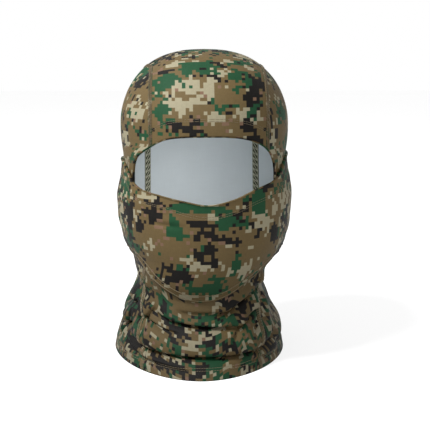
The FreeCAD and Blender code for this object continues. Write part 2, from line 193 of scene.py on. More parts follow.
GROOVE = 1.4
MM_PER_DEGREE = 1.5
SKIRT_SHIFT = -4.8          # the skirt hangs a little to the wearer's right
SKIRT_TOP = 100.0
SKIRT_FREE = 76.0
WAIST_DRAWN = 0.036
WAIST_Z = 71.0
WAIST_REACH = 11.0
SEAM_HOLD = 9.0             # below the chin seam the folds grow over this height
HEM_STILL = 6.0             # the hem itself stays on the floor plane
SEAM_PULL = 4.5             # the crown seam on the wearer's right is pulled towards the middle
SEAM_PULL_REACH = 15.0
SEAM_PULL_FOOT = 190.0
SEAM_SPREAD = 3.0           # the seams stand further apart at the back of the head
SEAM_SPREAD_FOOT = 95.0
NECK_TOP = 96.0             # the folds die away over this height and NECK_FADE below it
NECK_FADE = 16.0
HEM_CALM = 0.25             # share of a fold that is left at the hem
HEM_CALM_RISE = 12.0
SEAM_SPREAD_RISE = 30.0
SEAM_SPREAD_REACH = 40.0
FOLD_ENDS = 0.3             # share of a fold's length over which each end dies away
# Where a fold's ridge, slump and groove lie and how wide they are, in fold widths.
RIDGE = (0.3, 1.0)
SLUMP = (-0.1, 0.9)
DIP = (-1.3, 0.62)

# The face panel's creases: the same, with a swell, a width and a dent.
CREASES = [
    ((-34, 143), (-8, 139), 1.0, 0.7, 3.5, 0.9),          # below the rim, over the nose
    ((10, 140), (30, 146), -1.0, 0.5, 3.2, 0.6),
    ((52, 96), (84, 118), 1.5, 1.3, 3.4, 1.3),            # pulled towards the jaw
    ((46, 90), (80, 106), 1.0, 1.0, 2.8, 1.1),
    ((60, 112), (88, 136), 2.0, 0.9, 3.4, 0.9),
    ((-82, 118), (-54, 98), 1.5, 1.1, 3.2, 1.1),
    ((-78, 104), (-48, 88), 1.0, 0.9, 2.8, 1.0),
    ((-86, 140), (-62, 120), 2.0, 0.7, 3.6, 0.7),
    ((-80, 176), (-60, 160), 1.0, 0.6, 3.2, 0.7),
    ((58, 160), (82, 178), 1.0, 0.7, 3.2, 0.8),
]
CREASE_ENDS = 0.4
CREASE_RIDGE = (0.0, 1.0)
CREASE_DIP = (-1.3, 0.6)
SAG = 6.0                   # the rim hangs lower on the wearer's right
SAG_X = 12.0
SAG_REACH = 45.0
SAG_FOOT = 140.0
SAG_RISE = 25.0

# The print. A layer's colour covers the cells where its field passes the layer's last number.
NECK_SHADE_TONE = 0.66           # painted shade: how dark the print is painted on the neck and lower face
CELL = 3.1                  # one square of the print
BROWN = (0.0530, 0.0365, 0.0150)
KHAKI = (0.125, 0.112, 0.074)
GREEN = (0.0045, 0.0250, 0.0100)
BLACK = (0.0028, 0.0023, 0.0018)
MAUVE = (0.0720, 0.0430, 0.0270)
UNPRINTED = (0.71, 0.755, 0.775)
PRINT_LAYERS = ((MAUVE, "mauve", 1.86), (KHAKI, "khaki", 1.53), (GREEN, "green", 1.54),
                (BLACK, "black", 1.54))
LAYER_STEP = 2.7            # keeps the layers' random fields apart
SEED_STEP = (17.3, -9.1, 3.7)
CLUSTER_SCALE = 0.105
BLOCKS = (((0.55, 1.0, 1.0), 0.47, 0.6), ((1.0, 0.5, 1.0), 0.53, 0.55))
SINGLE_SHARE = 0.30
CLUSTER_SHARE = 1.4         # the clusters' weight where no patches are laid out
PATCH_SHARE = 0.48
PATCH_FIELD = (-0.35, 0.7)  # lowest and highest value of the patches' field
PATCH_LEVEL = 0.2
BEYOND_LEVEL = 0.07
REACH_EDGE = 0.08           # how fast the laid-out part gives way to the random part
SPECKS = 0.985
KNIT_DEPTH = 0.00025        # in metres
# The main patches of the print, as (across, up, half width, half height) along the cloth.
CROWN_PRINT = {
    "green": [(-32, 40, 18, 11), (-6, 58, 20, 14), (36, 46, 17, 15), (29, 33, 11, 7),
              (8, 12, 19, 8), (-43, 7, 7, 5), (-35, -1, 9, 5), (42, 8, 9, 10), (28, 66, 12, 8)],
    "khaki": [(-16, 33, 11, 10), (-22, 15, 17, 9), (12, 46, 16, 8), (1, 33, 5, 11), (6, 3, 13, 6),
              (34, 4, 14, 6), (-36, 24, 10, 9), (-30, 64, 11, 6), (16, 70, 11, 6), (40, 60, 7, 5)],
    "black": [(43, 27, 11, 16), (-24, -5, 26, 8), (-9, 78, 18, 7), (33, -3, 8, 5), (42, -17, 8, 5),
              (-40, 54, 8, 5)],
}
FACE_PRINT = {
    "green": [(-25, 43, 17, 8), (0, 41, 25, 5), (-28, 22, 11, 13), (46, 44, 10, 15), (24, 29, 18, 6),
              (3, -32, 19, 11), (-21, -14, 8, 6), (26, -11, 8, 10)],
    "khaki": [(-66, 54, 12, 7), (4, 35, 7, 5), (50, 26, 14, 10), (-18, -4, 11, 6), (-3, -12, 22, 8),
              (28, -18, 17, 7), (-60, 4, 10, 9), (-14, -42, 8, 5), (8, -42, 8, 5), (-50, 54, 7, 5)],
    "black": [(-51, 40, 13, 16), (-8, 29, 11, 5), (7, 15, 19, 14), (5, -2, 4, 7), (72, 14, 11, 15),
              (-68, 22, 6, 9), (-31, -22, 17, 12), (56, 58, 11, 5)],
}
LEFT_PRINT = {
    "green": [(-55, 240, 18, 13), (-38, 205, 13, 24), (-18, 188, 12, 15)],
    "khaki": [(-76, 212, 10, 13), (-30, 228, 9, 11), (-60, 196, 8, 10)],
    "black": [(-80, 246, 9, 16), (-8, 214, 11, 16), (-68, 222, 6, 6)],
}
RIGHT_PRINT = {
    "green": [(72, 223, 14, 10), (70, 203, 9, 9), (14, 232, 12, 12)],
    "khaki": [(58, 246, 24, 15), (76, 208, 11, 13), (40, 216, 15, 15), (30, 190, 13, 13),
              (52, 192, 9, 9)],
    "black": [(80, 190, 9, 8), (10, 196, 9, 12), (34, 240, 7, 7)],
}

# Camera and floor, in metres.
CAMERA_TURN = -1.8          # degrees towards the wearer's right
CAMERA_DISTANCE = 0.9
CAMERA_HEIGHT = 0.285
CAMERA_PITCH = 9.9
CAMERA_LENS = 78.65
CAMERA_SENSOR = 36.0
CAMERA_SHIFT = 0.0256
WHITE = (1.0, 1.0, 1.0, 1.0)
FLOOR_SIZE = 6.0
FLOOR_TONE = 0.22
FLOOR_GLOW = 0.72


# ---- smooth rows ----
def row_at(rows, place):
    """The rows at fractional places, smooth through each row."""
    last = len(rows) - 1
    place = np.clip(np.asarray(place, float), 0, last)
    i = np.minimum(place.astype(int), last - 1)
    share = (place - i)[..., None]
    start = rows[i]
    end = rows[i + 1]
    slope_start = (end - rows[np.maximum(i - 1, 0)]) / 2
    slope_end = (rows[np.minimum(i + 2, last)] - start) / 2
    square = share * share
    cube = square * share
    return ((2 * cube - 3 * square + 1) * start + (cube - 2 * square + share) * slope_start
            + (3 * square - 2 * cube) * end + (cube - square) * slope_end)


def place_of_height(rows, height):
    places = np.linspace(0, len(rows) - 1, TABLE_STEPS)
    return np.interp(height, row_at(rows, places)[:, 0], places)


def outline_height(outline, x):
    places = np.linspace(0, len(outline) - 1, TABLE_STEPS)
    table = row_at(outline, places)
    return np.interp(np.abs(x), table[:, 0], table[:, 1])


def smooth(value):
    value = np.clip(value, 0, 1)
    return value * value * (3 - 2 * value)


def signed_power(value, power):
    return np.sign(value) * np.abs(value) ** power


def round_point(rows, degrees, place):
    """Points at angles from the middle of the face, at places in the rows."""
    height, half_width, front, back, squareness = np.moveaxis(row_at(rows, place), -1, 0)
    angle = np.radians(degrees)
    across = signed_power(np.sin(angle), 2 / squareness)
    along = -signed_power(np.cos(angle), 2 / squareness)
    depth = np.where(along > 0, back, front)
    return np.stack([half_width * across, EAR_LINE_Y + depth * along, height + 0 * across], -1)


def depth_point(rows, x, place, side):
    """Points at x in front of (side -1) or behind (side +1) the ear line."""
    height, half_width, front, back, squareness = np.moveaxis(row_at(rows, place), -1, 0)
    share = np.minimum(np.abs(x) / np.maximum(half_width, 1e-6), 1)
    reach = (1 - share ** squareness) ** (1 / squareness)
    depth = np.where(side > 0, back, front)
    return np.stack([x + 0 * reach, EAR_LINE_Y + side * depth * reach, height + 0 * reach], -1)


# ---- folds and creases ----
def skirt_shift(z):
    return SKIRT_SHIFT * smooth((SKIRT_TOP - z) / (SKIRT_TOP - SKIRT_FREE))


def waist(z):
    """How much narrower the cloth is drawn in below the jaw."""
    return 1 - WAIST_DRAWN * np.exp(-((z - WAIST_Z) / WAIST_REACH) ** 2)


def across_fold(degrees, z, start, end, bow, ends):
    """Distance across a fold, its strength there, and its normal on the unrolled neck."""
    a = np.array([start[0] * MM_PER_DEGREE, start[1]], float)
    b = np.array([end[0] * MM_PER_DEGREE, end[1]], float)
    length = float(np.hypot(*(b - a)))
    run = (b - a) / length
    normal = np.array([-run[1], run[0]])
    if normal[1] < 0:
        normal = -normal
    middle = (start[0] + end[0]) / 2
    near = (degrees - middle + 180) % 360 - 180 + middle
    s = near * MM_PER_DEGREE - a[0]
    t = z - a[1]
    along = (s * run[0] + t * run[1]) / length
    across = s * normal[0] + t * normal[1] + 4 * bow * along * (1 - along)
    fade = smooth(along / ends) * smooth((1 - along) / ends) * (along > 0) * (along < 1)
    return across, fade, normal


def hump(across, width, form):
    middle, spread = form
    return np.exp(-((across - middle * width) / (spread * width)) ** 2)


def fold_moves(x, y, z):
    """How far each point of the neck's cloth is moved by the folds."""
    degrees = np.degrees(np.arctan2(x, EAR_LINE_Y - y))
    radius = np.hypot(x, y - EAR_LINE_Y)
    outward = np.stack([x, y - EAR_LINE_Y, 0 * z], -1) / np.maximum(radius, 1)[..., None]
    sideways = np.stack([-outward[..., 1], outward[..., 0], 0 * z], -1)
    up = np.array([0.0, 0.0, 1.0])
    moved = np.zeros(z.shape + (3,))
    for start, end, bow, swell, width, roll, groove in FOLDS:
        across, fade, normal = across_fold(degrees, z, start, end, bow, FOLD_ENDS)
        swelled = SWELL * swell * hump(across, width, RIDGE)
        swelled -= GROOVE * groove * hump(across, width, DIP)
        moved += (swelled * fade)[..., None] * outward
        fall = (roll * hump(across, width, SLUMP) * fade)[..., None]
        moved -= fall * (normal[0] * sideways + normal[1] * up)
    below_seam = smooth((outline_height(JAW, x) - z) / SEAM_HOLD)
    below_seam = np.where(y < EAR_LINE_Y, below_seam, 1)
    moved[..., 2:] *= smooth(z / HEM_STILL)[..., None]
    calm = HEM_CALM + (1 - HEM_CALM) * smooth(z / HEM_CALM_RISE)
    return moved * (below_seam * smooth((NECK_TOP - z) / NECK_FADE) * calm)[..., None]


def seam_moves(x, y, z):
    """How far the cloth beside the crown seams is moved sideways."""
    near_seam = np.exp(-((x + SEAM_X) / SEAM_PULL_REACH) ** 2)
    on_forehead = smooth((z - SEAM_PULL_FOOT) / SEAM_PULL_REACH) * smooth(-y / SEAM_PULL_REACH)
    near_back_seam = np.exp(-((np.abs(x) - SEAM_X) / SEAM_PULL_REACH) ** 2)
    on_back = smooth((z - SEAM_SPREAD_FOOT) / SEAM_SPREAD_RISE) * smooth(y / SEAM_SPREAD_REACH)
    return SEAM_PULL * near_seam * on_forehead + SEAM_SPREAD * np.sign(x) * near_back_seam * on_back


def folded(points):
    """The hood's cloth with its folds, its drawn waist and its skirt to one side."""
    points = np.array(points, float)
    x, y, z = np.moveaxis(points.copy(), -1, 0)
    points += fold_moves(x, y, z)
    points[..., 0] = (points[..., 0] + skirt_shift(z)) * waist(z) + seam_moves(x, y, z)
    return points


def creased(points):
    """The face panel's cloth with its shallow creases, its rim lower on one side."""
    x, y, z = np.moveaxis(np.asarray(points, float), -1, 0)
    degrees = np.degrees(np.arctan2(x, EAR_LINE_Y - y))
    radius = np.maximum(np.hypot(x, y - EAR_LINE_Y), 1)
    lift = np.zeros_like(z)
    for start, end, bow, swell, width, dent in CREASES:
        across, fade, _ = across_fold(degrees, z, start, end, bow, CREASE_ENDS)
        lift += fade * (swell * hump(across, width, CREASE_RIDGE)
                        - dent * hump(across, width, CREASE_DIP))
    points = np.array(points, float)
    points[..., 0] += lift * x / radius + skirt_shift(z)
    points[..., 1] += lift * (y - EAR_LINE_Y) / radius
    points[..., 2] -= SAG * smooth((-x - SAG_X) / SAG_REACH) * smooth((z - SAG_FOOT) / SAG_RISE)
    points[..., 0] *= waist(z)
    return points


# ---- grids of points, and meshes from them ----
def grid_normals(grid):
    """Unit normals of a grid of points, turned away from the head's axis."""
    du = np.gradient(grid, axis=0)
    dv = np.gradient(grid, axis=1)
    normals = np.cross(du, dv)
    normals /= np.maximum(np.linalg.norm(normals, axis=-1, keepdims=True), 1e-9)
    nought = np.zeros_like(grid[..., 0])
    axis = np.stack([nought, nought + EAR_LINE_Y, np.clip(grid[..., 2], 0, AXIS_TOP)], -1)
    if np.sum(normals * (grid - axis)) < 0:
        normals = -normals
    return normals


def offset(grid, distance):
    """The grid moved outwards along its normals."""
    return grid + grid_normals(grid) * distance


def run_lengths(grid, axis, middle):
    """Distances along one direction of a grid, from its middle line."""
    step = np.linalg.norm(np.diff(grid, axis=axis), axis=-1)
    total = np.insert(np.cumsum(step, axis=axis), 0, 0, axis=axis)
    return total - np.take(total, [middle], axis=axis)


def grain(grid, middle_column, middle_row):
    """Cloth coordinates in millimetres: across the columns and up the rows."""
    return np.stack([run_lengths(grid, 0, middle_column), run_lengths(grid, 1, middle_row)], -1)


def quads(columns, rows, first, flip):
    i, j = np.meshgrid(np.arange(columns - 1), np.arange(rows - 1), indexing="ij")
    a = first + i * rows + j
    corners = np.stack([a, a + rows, a + rows + 1, a + 1], -1).reshape(-1, 4)
    return corners[:, ::-1] if flip else corners


def rim(columns, rows):
    """The grid's border points in order, once round."""
    index = np.arange(columns * rows).reshape(columns, rows)
    return np.concatenate([index[:-1, 0], index[-1, :-1], index[:0:-1, -1], index[0, :0:-1]])


def sheet_mesh(outer, inner, uv, inner_slot=1, outer_slot=0):
    """Vertices, faces, cloth coordinates and material slots of a closed thin sheet."""
    columns, rows = outer.shape[:2]
    count = columns * rows
    normal = np.cross(outer[1:, :-1] - outer[:-1, :-1], outer[:-1, 1:] - outer[:-1, :-1])
    flip = np.sum(normal * (outer - inner)[:-1, :-1]) < 0
    border = rim(columns, rows)
    after = np.roll(border, -1)
    edge = np.stack([border, border + count, after + count, after], -1)
    faces = np.concatenate([quads(columns, rows, 0, flip), quads(columns, rows, count, not flip),
                            edge[:, ::-1] if flip else edge])
    faces_each = (columns - 1) * (rows - 1)
    slots = np.concatenate([np.full(faces_each, outer_slot), np.full(faces_each, inner_slot),
                            np.full(len(edge), outer_slot)])
    vertices = np.concatenate([outer.reshape(-1, 3), inner.reshape(-1, 3)])
    flat = uv.reshape(-1, 2)
    return vertices, faces, np.concatenate([flat, flat]), slots


def joined(*meshes):
    """Several meshes as one."""
    vertices, faces, uvs, slots = zip(*meshes)
    firsts = np.cumsum([0] + [len(points) for points in vertices])
    moved = [face + first for face, first in zip(faces, firsts)]
    return tuple(np.concatenate(parts) for parts in (vertices, moved, uvs, slots))


def add_mesh(name, mesh, materials):
    vertices, faces, uvs, slots = mesh
    data = bpy.data.meshes.new(name)
    vertices = np.array(vertices)
    vertices[:, 2] = np.maximum(vertices[:, 2], 0)
    data.from_pydata((vertices * MM).tolist(), [], faces.tolist())
    layer = data.uv_layers.new(name="Grain")
    corners = np.zeros(len(data.loops), int)
    data.loops.foreach_get("vertex_index", corners)
    layer.data.foreach_set("uv", (uvs[corners] * MM).ravel())
    data.polygons.foreach_set("material_index", slots.astype(np.int32))
    data.polygons.foreach_set("use_smooth", np.ones(len(faces), bool))
    for material in materials:
        data.materials.append(material)
    data.update()
    return placed(name, data)


def placed(name, data):
    """A new object with this data, in the scene."""
    made = bpy.data.objects.new(name, data)
    bpy.context.scene.collection.objects.link(made)
    return made


# ---- thread ----
def on_grid(grid, along, across):
    """Points of a grid at shares of its two directions."""
    u = np.clip(along, 0, 1) * (grid.shape[0] - 1)
    v = np.clip(across, 0, 1) * (grid.shape[1] - 1)
    i = np.minimum(u.astype(int), grid.shape[0] - 2)
    j = np.minimum(v.astype(int), grid.shape[1] - 2)
    a = (u - i)[:, None]
    b = (v - j)[:, None]
    return ((grid[i, j] * (1 - a) + grid[i + 1, j] * a) * (1 - b)
            + (grid[i, j + 1] * (1 - a) + grid[i + 1, j + 1] * a) * b)


def thread_mesh(points, normals, radius, slot=0):
    """A closed tube of thread along points that lie on a surface with these normals."""
    along = np.gradient(points, axis=0)
    along /= np.maximum(np.linalg.norm(along, axis=1, keepdims=True), 1e-9)
    side = np.cross(along, normals)
    side /= np.maximum(np.linalg.norm(side, axis=1, keepdims=True), 1e-9)
    lift = np.cross(side, along)
    count = len(points)
    turns = np.arange(THREAD_SIDES) * 2 * math.pi / THREAD_SIDES
    ring = (np.cos(turns)[None, :, None] * side[:, None] + np.sin(turns)[None, :, None] * lift[:, None])
    vertices = (points[:, None] + radius * ring).reshape(-1, 3)
    i, j = np.meshgrid(np.arange(count - 1), np.arange(THREAD_SIDES), indexing="ij")
    near = i * THREAD_SIDES
    far = near + THREAD_SIDES
    k = (j + 1) % THREAD_SIDES
    faces = np.stack([near + j, near + k, far + k, far + j], -1).reshape(-1, 4)
    last = (count - 1) * THREAD_SIDES
    faces = np.concatenate([faces, np.array(START_CAP), last + np.array(START_CAP)[:, ::-1]])
    length = np.linspace(0, len(points), len(vertices))
    uv = np.stack([length, length * 0], -1)
    return vertices, faces, uv, np.full(len(faces), slot)


def stitch_count(grid, pitch):
    middle = grid[:, grid.shape[1] // 2]
    length = float(np.sum(np.linalg.norm(np.diff(middle, axis=0), axis=-1)))
    return max(int(length / pitch), 2)


def stitched(grid, width_shares, pitch, radius, lift, dip=0.3, slot=1):
    """Rows of single stitches along a grid, at shares of its width."""
    count = stitch_count(grid, pitch)
    samples = np.linspace(0, 1, count * 4 + 1)
    wave = np.abs(np.sin(np.arange(len(samples)) * math.pi / 4))
    normals = grid_normals(grid)
    rows = []
    for share in width_shares:
        across = np.full(len(samples), share)
        normal = on_grid(normals, samples, across)
        rows.append(thread_mesh(on_grid(grid, samples, across)
                                + normal * (lift - dip + dip * wave)[:, None], normal, radius, slot))
    return rows


def laddered(grid, low, high, pitch, radius, lift, slot=1):
    """One thread that crosses a grid's width to and fro."""
    count = stitch_count(grid, pitch)
    samples = np.arange(count * 4 + 1)
    along = (samples // 4 + np.minimum(samples % 4, 2) / 3) / (count + 1)
    swing = np.array([0, 0.33, 0.67, 1.0])[samples % 4]
    swing = np.where((samples // 4) % 2 == 0, swing, 1 - swing)
    across = low + (high - low) * swing
    bulge = np.sin(swing * math.pi) * 0.25
    normals = grid_normals(grid)
    normal = on_grid(normals, along, across)
    points = on_grid(grid, along, across) + normal * (lift + bulge)[:, None]
    return thread_mesh(points, normal, radius, slot)


def band(grid, height, sign=1, slot=0):
    """A rounded strip of thread or cloth on one side of a grid; its columns run along it."""
    share = np.linspace(-1, 1, grid.shape[1])
    arch = height * (1 - np.abs(share) ** 3)
    normals = grid_normals(grid)
    top = grid + normals * (sign * (TOUCH + arch))[None, :, None]
    bottom = grid - normals * (sign * BAND_SINK)
    return sheet_mesh(top, bottom, grain(grid, 0, grid.shape[1] // 2), slot, slot)


# ---- where the hood's panels end ----
def eye_half_width(sign):
    return EYE_HALF_WIDTH + EYE_RIGHT_EXTRA * (np.asarray(sign) < 0)


def arch_height(x):
    share = np.minimum(np.abs(x) / eye_half_width(np.sign(x)), 1)
    rise = (1 - share ** EYE_SQUARENESS) ** (1 / EYE_SQUARENESS)
    return EYE_CORNER_Z + (EYE_TOP_Z - EYE_CORNER_Z) * rise


def opening_half_width(z, sign):
    """The hood's front edge at a height: the seam plane above and below the opening."""
    drop = np.clip((EYE_CORNER_Z - z) / (EYE_CORNER_Z - OPENING_FOOT_Z), 0, 1)
    below = SEAM_X + (eye_half_width(sign) - SEAM_X) * (1 - drop ** EYE_SQUARENESS)
    rise = np.clip((z - EYE_CORNER_Z) / (EYE_TOP_Z - EYE_CORNER_Z), 0, 1)
    above = eye_half_width(sign) * (1 - rise ** EYE_SQUARENESS) ** (1 / EYE_SQUARENESS)
    return np.where(z <= EYE_CORNER_Z, below, np.maximum(SEAM_X, above))


def opening_line(turns):
    """x and z round the opening: turn -1 and 1 are its feet at the chin seam, 0 its top."""
    size = np.abs(turns)
    angle = math.pi / 2 * np.minimum(size / ARCH_SHARE, 1)
    side = np.sign(turns)
    arch_x = eye_half_width(side) * np.sin(angle) ** (2 / EYE_SQUARENESS)
    drop = np.clip((size - ARCH_SHARE) / (1 - ARCH_SHARE), 0, 1)
    side_z = EYE_CORNER_Z - (EYE_CORNER_Z - OPENING_FOOT_Z) * drop
    in_arch = size <= ARCH_SHARE
    x = np.where(in_arch, arch_x, opening_half_width(side_z, side)) * side
    return x, np.where(in_arch, arch_height(x), side_z)


def opening_grid(turns, shares):
    """Points of the hood's cloth beside the opening, from its edge outwards."""
    x, z = opening_line(turns)
    run = np.gradient(x)
    climb = np.gradient(z)
    length = np.hypot(run, climb)
    xs = x[:, None] - (climb / length * EYE_HEM_SIDE)[:, None] * shares[None]
    zs = z[:, None] + (run / length * EYE_HEM)[:, None] * shares[None]
    return folded(depth_point(HOOD, xs, place_of_height(HOOD, zs), -1))


def crown_line(x, start_height, end_height, count):
    """Even points at x: up the forehead, over the crown, down the back."""
    places = np.linspace(place_of_height(HOOD, EYE_TOP_Z), len(HOOD) - 1, TABLE_STEPS)
    top = np.interp(-abs(x), -row_at(HOOD, places)[:, 1], places) if x else len(HOOD) - 1
    front = math.sqrt(top - place_of_height(HOOD, start_height))
    back = math.sqrt(top - place_of_height(HOOD, end_height))
    reach = np.linspace(-front, back, 4 * count)

    def points_at(reach):
        side = np.where(reach < 0, -1, 1)
        return depth_point(HOOD, np.full_like(reach, x), top - reach * reach, side)

    points = points_at(reach)
    travelled = np.insert(np.cumsum(np.linalg.norm(np.diff(points, axis=0), axis=1)), 0, 0)
    even = np.linspace(0, travelled[-1], count)
    return points_at(np.interp(even, travelled, reach)), even


def crown_grid(xs, start_rise, end_height, count):
    """A strip over the crown, and its distances from a level line on the forehead."""
    lines = []
    lengths = []
    for x in xs:
        points, even = crown_line(float(x), float(arch_height(x)) + start_rise, end_height, count)
        front = slice(0, count // 3)
        level = np.interp(FOREHEAD_LEVEL, points[front, 2], even[front])
        lines.append(points)
        lengths.append(even - level)
    return np.array(lines), np.array(lengths)


def seam_angle(height, edge, side):
    """The angle from the middle of the face at which the hood is this far from the middle."""
    row = row_at(HOOD, place_of_height(HOOD, height))
    share = np.minimum(edge / row[..., 1], 1)
    angle = np.degrees(np.arcsin(share ** (row[..., 4] / 2)))
    return angle if side < 0 else 180 - angle


# ---- the camouflage print ----
def fill(node, values):
    for name, value in values.items():
        node.inputs[name].default_value = value


class Nodes:
    """Short names for building a material's node tree."""

    def __init__(self, material):
        self.tree = material.node_tree
        self.links = self.tree.links

    def new(self, kind, **values):
        node = self.tree.nodes.new(kind)
        for name, value in values.items():
            setattr(node, name, value)
        return node

    def put(self, socket, value):
        if isinstance(value, bpy.types.NodeSocket):
            self.links.new(value, socket)
        else:
            socket.default_value = value

    def math(self, operation, a, b=0.0, c=0.0):
        node = self.new("ShaderNodeMath", operation=operation)
        for socket, value in zip(node.inputs, (a, b, c)):
            self.put(socket, value)
        return node.outputs[0]

    def vector(self, operation, a, b=(0, 0, 0)):
        node = self.new("ShaderNodeVectorMath", operation=operation)
        self.put(node.inputs[0], a)
        if operation == "SCALE":
            self.put(node.inputs["Scale"], b)
            return node.outputs[0]
        if operation not in ("FLOOR", "LENGTH", "ABSOLUTE"):
            self.put(node.inputs[1], b)
        return node.outputs["Value" if operation == "LENGTH" else "Vector"]

    def noise(self, vector, scale, detail=2.0, rough=0.5):
        node = self.new("ShaderNodeTexNoise")
        self.put(node.inputs["Vector"], vector)
        fill(node, {"Scale": scale, "Detail": detail, "Roughness": rough})
        return node.outputs["Fac"]

    def random(self, vector):
        node = self.new("ShaderNodeTexWhiteNoise", noise_dimensions="3D")
        self.put(node.inputs["Vector"], vector)
        return node.outputs["Value"]

    def mix(self, factor, a, b):
        node = self.new("ShaderNodeMix", data_type="RGBA")
        self.put(node.inputs["Factor"], factor)
        for name, value in (("A", a), ("B", b)):
            socket = next(s for s in node.inputs if s.name == name and s.type == "RGBA")
            self.put(socket, value if isinstance(value, bpy.types.NodeSocket) else (*value, 1.0))
        return next(s for s in node.outputs if s.type == "RGBA")


def patches_field(nodes, place, patches):
    """1 at the middle of the nearest patch, 0 at its edge, below 0 outside every patch."""
    best = None
    for u, v, width, height in patches:
        moved = nodes.vector("SUBTRACT", place, (u, v, 0))
        scaled = nodes.vector("MULTIPLY", moved, (1 / width, 1 / height, 0))
        field = nodes.math("SUBTRACT", 1.0, nodes.vector("LENGTH", scaled))
        best = field if best is None else nodes.math("MAXIMUM", best, field)
    lowest, highest = PATCH_FIELD
    return nodes.math("MINIMUM", nodes.math("MAXIMUM", best, lowest), highest)


def outside_reach(nodes, place, reach):
    """0 where the drawn patches lay out the print, 1 beyond them."""
    parts = nodes.new("ShaderNodeSeparateXYZ")
    middle = nodes.vector("SUBTRACT", place, (*reach[:2], 0))
    nodes.put(parts.inputs[0], nodes.vector("ABSOLUTE", middle))
    beyond = 0.0
    for away, size in zip(parts.outputs, reach[2:]):
        past = nodes.math("MULTIPLY_ADD", away, REACH_EDGE, -REACH_EDGE * size)
        beyond = nodes.math("MAXIMUM", past, beyond)
    return nodes.math("MINIMUM", beyond, 1.0)


def colour_layer(nodes, cells, place, seed, patches, cover, beyond):
    """1 in the cells that one colour of the print covers."""
    shifted = nodes.vector("ADD", cells, tuple(seed * step for step in SEED_STEP))
    clusters = nodes.noise(shifted, CLUSTER_SCALE, 2.0, 0.55)
    value = nodes.math("MULTIPLY", clusters, 1.0 if patches else CLUSTER_SHARE)
    if patches:
        inside = nodes.math("SUBTRACT", 1.0, beyond)
        field = nodes.math("MULTIPLY", patches_field(nodes, place, patches), inside)
        value = nodes.math("MULTIPLY_ADD", field, PATCH_SHARE, value)
        value = nodes.math("MULTIPLY_ADD", beyond, BEYOND_LEVEL, value)
        value = nodes.math("ADD", value, PATCH_LEVEL)
    for stretch, scale, share in BLOCKS:
        block = nodes.noise(nodes.vector("MULTIPLY", shifted, stretch), scale, 0.0)
        value = nodes.math("MULTIPLY_ADD", block, share, value)
    value = nodes.math("MULTIPLY_ADD", nodes.random(shifted), SINGLE_SHARE, value)
    return nodes.math("GREATER_THAN", value, cover)


def knit_bump(nodes, coordinates, strength):
    """The fine columns and courses of knitted cloth, with a little unevenness."""
    waves = []
    for direction, scale, distortion in (("X", 320.0, 0.6), ("Y", 420.0, 0.8)):
        wave = nodes.new("ShaderNodeTexWave", wave_type="BANDS", bands_direction=direction)
        fill(wave, {"Scale": scale, "Distortion": distortion})
        nodes.put(wave.inputs["Vector"], coordinates)
        waves.append(wave.outputs["Fac"])
    height = nodes.math("ADD", *waves)
    height = nodes.math("MULTIPLY_ADD", nodes.noise(coordinates, 90.0, 3.0), 1.6, height)
    bump = nodes.new("ShaderNodeBump")
    fill(bump, {"Strength": strength, "Distance": KNIT_DEPTH})
    nodes.put(bump.inputs["Height"], height)
    return bump.outputs["Normal"]


def cloth_material(name, roughness=0.60, sheen=0.0, specular=0.07):
    material = bpy.data.materials.new(name)
    material.use_nodes = True
    nodes = Nodes(material)
    shader = nodes.tree.nodes["Principled BSDF"]
    fill(shader, {"Roughness": roughness, "Sheen Weight": sheen, "Sheen Roughness": 0.45,
                  "Specular IOR Level": specular})
    uv = nodes.new("ShaderNodeUVMap", uv_map="Grain")
    return material, nodes, shader, uv.outputs["UV"]


def print_colours(nodes, uv, seed, patches, reach):
    place = nodes.vector("SCALE", uv, 1000.0)
    cells = nodes.vector("FLOOR", nodes.vector("SCALE", uv, 1000.0 / CELL))
    centre = nodes.vector("SCALE", nodes.vector("ADD", cells, (0.5, 0.5, 0)), CELL)
    beyond = outside_reach(nodes, centre, reach)
    colour = BROWN
    for number, (tone, kind, cover) in enumerate(PRINT_LAYERS):
        chosen = colour_layer(nodes, cells, centre, seed + LAYER_STEP * number, patches.get(kind),
                              cover, beyond)
        colour = nodes.mix(chosen, colour, tone)
    specks = nodes.math("GREATER_THAN", nodes.random(nodes.vector("ADD", cells, (seed, 5, 9))), SPECKS)
    return place, nodes.mix(specks, colour, MAUVE)


def camo(name, seed, patches=None, reach=(0, 0, 500, 500), shade_span=(0.0, -1.0)):
    """Printed knit: the colours in square cells along the grain, softened by the yarn.

    Painted shade: the print is darkened from its full tone at the first of the two distances up
    the cloth in the last argument to its darkest at the second and beyond, for the shade on the neck
    and under the chin.
    """
    material, nodes, shader, uv = cloth_material(name)
    place, colour = print_colours(nodes, uv, seed, patches or {}, reach)
    mottle = nodes.noise(place, 0.35, 4.0, 0.7)
    tint = nodes.math("MULTIPLY_ADD", mottle, 0.34, 0.83)
    parts = nodes.new("ShaderNodeSeparateXYZ")
    nodes.put(parts.inputs[0], place)
    # Painted shade: the print is darkened down the cloth over the span given, standing in for the shade
    # on the neck and under the chin.
    painted_shade_ramp = nodes.new("ShaderNodeMapRange", interpolation_type="SMOOTHSTEP")
    nodes.put(painted_shade_ramp.inputs["Value"], parts.outputs[1])
    fill(painted_shade_ramp, {"From Min": shade_span[0], "From Max": shade_span[1], "To Min": 1.0, "To Max": NECK_SHADE_TONE})
    tint = nodes.math("MULTIPLY", tint, painted_shade_ramp.outputs[0])
    faded = nodes.new("ShaderNodeMix", data_type="RGBA", blend_type="MULTIPLY")
    faded.inputs["Factor"].default_value = 1.0
    sockets = [s for s in faded.inputs if s.type == "RGBA"]
    nodes.put(sockets[0], colour)
    grey = nodes.new("ShaderNodeCombineColor")
    for socket in grey.inputs:
        nodes.put(socket, tint)
    nodes.put(sockets[1], grey.outputs[0])
    nodes.put(shader.inputs["Base Color"], next(s for s in faded.outputs if s.type == "RGBA"))
    nodes.put(shader.inputs["Normal"], knit_bump(nodes, uv, 0.35))
    return material


